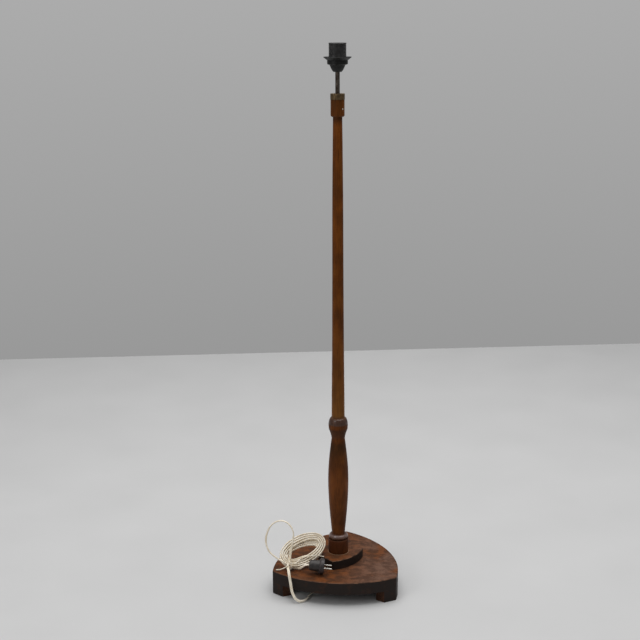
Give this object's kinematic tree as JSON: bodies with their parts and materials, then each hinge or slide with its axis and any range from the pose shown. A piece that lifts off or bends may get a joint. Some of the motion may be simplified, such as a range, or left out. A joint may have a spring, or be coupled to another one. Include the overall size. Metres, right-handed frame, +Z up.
{
  "type": "floor lamp stand",
  "caption": "Turned wooden candlestick floor lamp on a curved-sided footed base, with a bare screw lampholder, shade ring and its twin cord tied in a hank on the base.",
  "frame": {"origin": "on the floor, at the middle of the base's bounding box (the column stands 18.25 mm in front of it)", "axes": "+Z up the column; +Y towards the base's back corner, away from the viewer; +X to the right"},
  "size_m": [0.3173, 0.3034, 1.282],
  "materials": {
    "dark_board": "worn dark stain",
    "worn_foot": "worn dark stain",
    "turned_wood": "satin stained and waxed",
    "old_brass": "tarnished",
    "brass": "satin",
    "steel": "darkened",
    "black_plastic": "dulled gloss",
    "pale_insert": "glazed",
    "cream_cord": "satin",
    "cream_string": "matt",
    "grey_plastic": "dull",
    "dark_plastic": "dull",
    "plated_pins": "nickel plated"
  },
  "bodies": {
    "lamp": {"base_board": "dark_board", "foot_left": "worn_foot", "foot_right": "worn_foot", "foot_back": "worn_foot", "foot_screws": "steel", "plinth": "dark_board", "plinth_screws": "steel", "baluster": "turned_wood", "shaft": "turned_wood", "capital": "turned_wood", "capital_cap": "old_brass", "capital_nail": "steel", "pipe": "steel", "holder_cap": "black_plastic", "holder_sleeve": "black_plastic", "holder_insert": "pale_insert", "screw_shell": "brass", "contact_rivet": "brass", "terminal_screws": "brass", "cord_bush": "black_plastic", "cord_inside": "cream_cord", "cord_lead": "cream_cord", "cord_hank": "cream_cord", "cord_end": "cream_cord", "cord_tie": "cream_string", "plug_grip": "grey_plastic", "plug_face": "dark_plastic", "plug_pins": "plated_pins", "plug_screw": "steel"},
    "ring": {"shade_ring": "black_plastic"},
    "contact": {"centre_contact": "brass"}
  },
  "joints": [
    {"name": "shade_ring_travel", "type": "slide", "parent": "lamp", "child": "ring", "axis": [0, 0, 1], "range_m": [0, 0.029]},
    {"name": "contact_press", "type": "hinge", "parent": "lamp", "child": "contact", "pos_m": [-0.0066, -0.01825, 1.2475], "axis": [0, 1, 0], "range_deg": [0, 6], "stiffness_Nm_per_rad": 0.3}
  ]
}
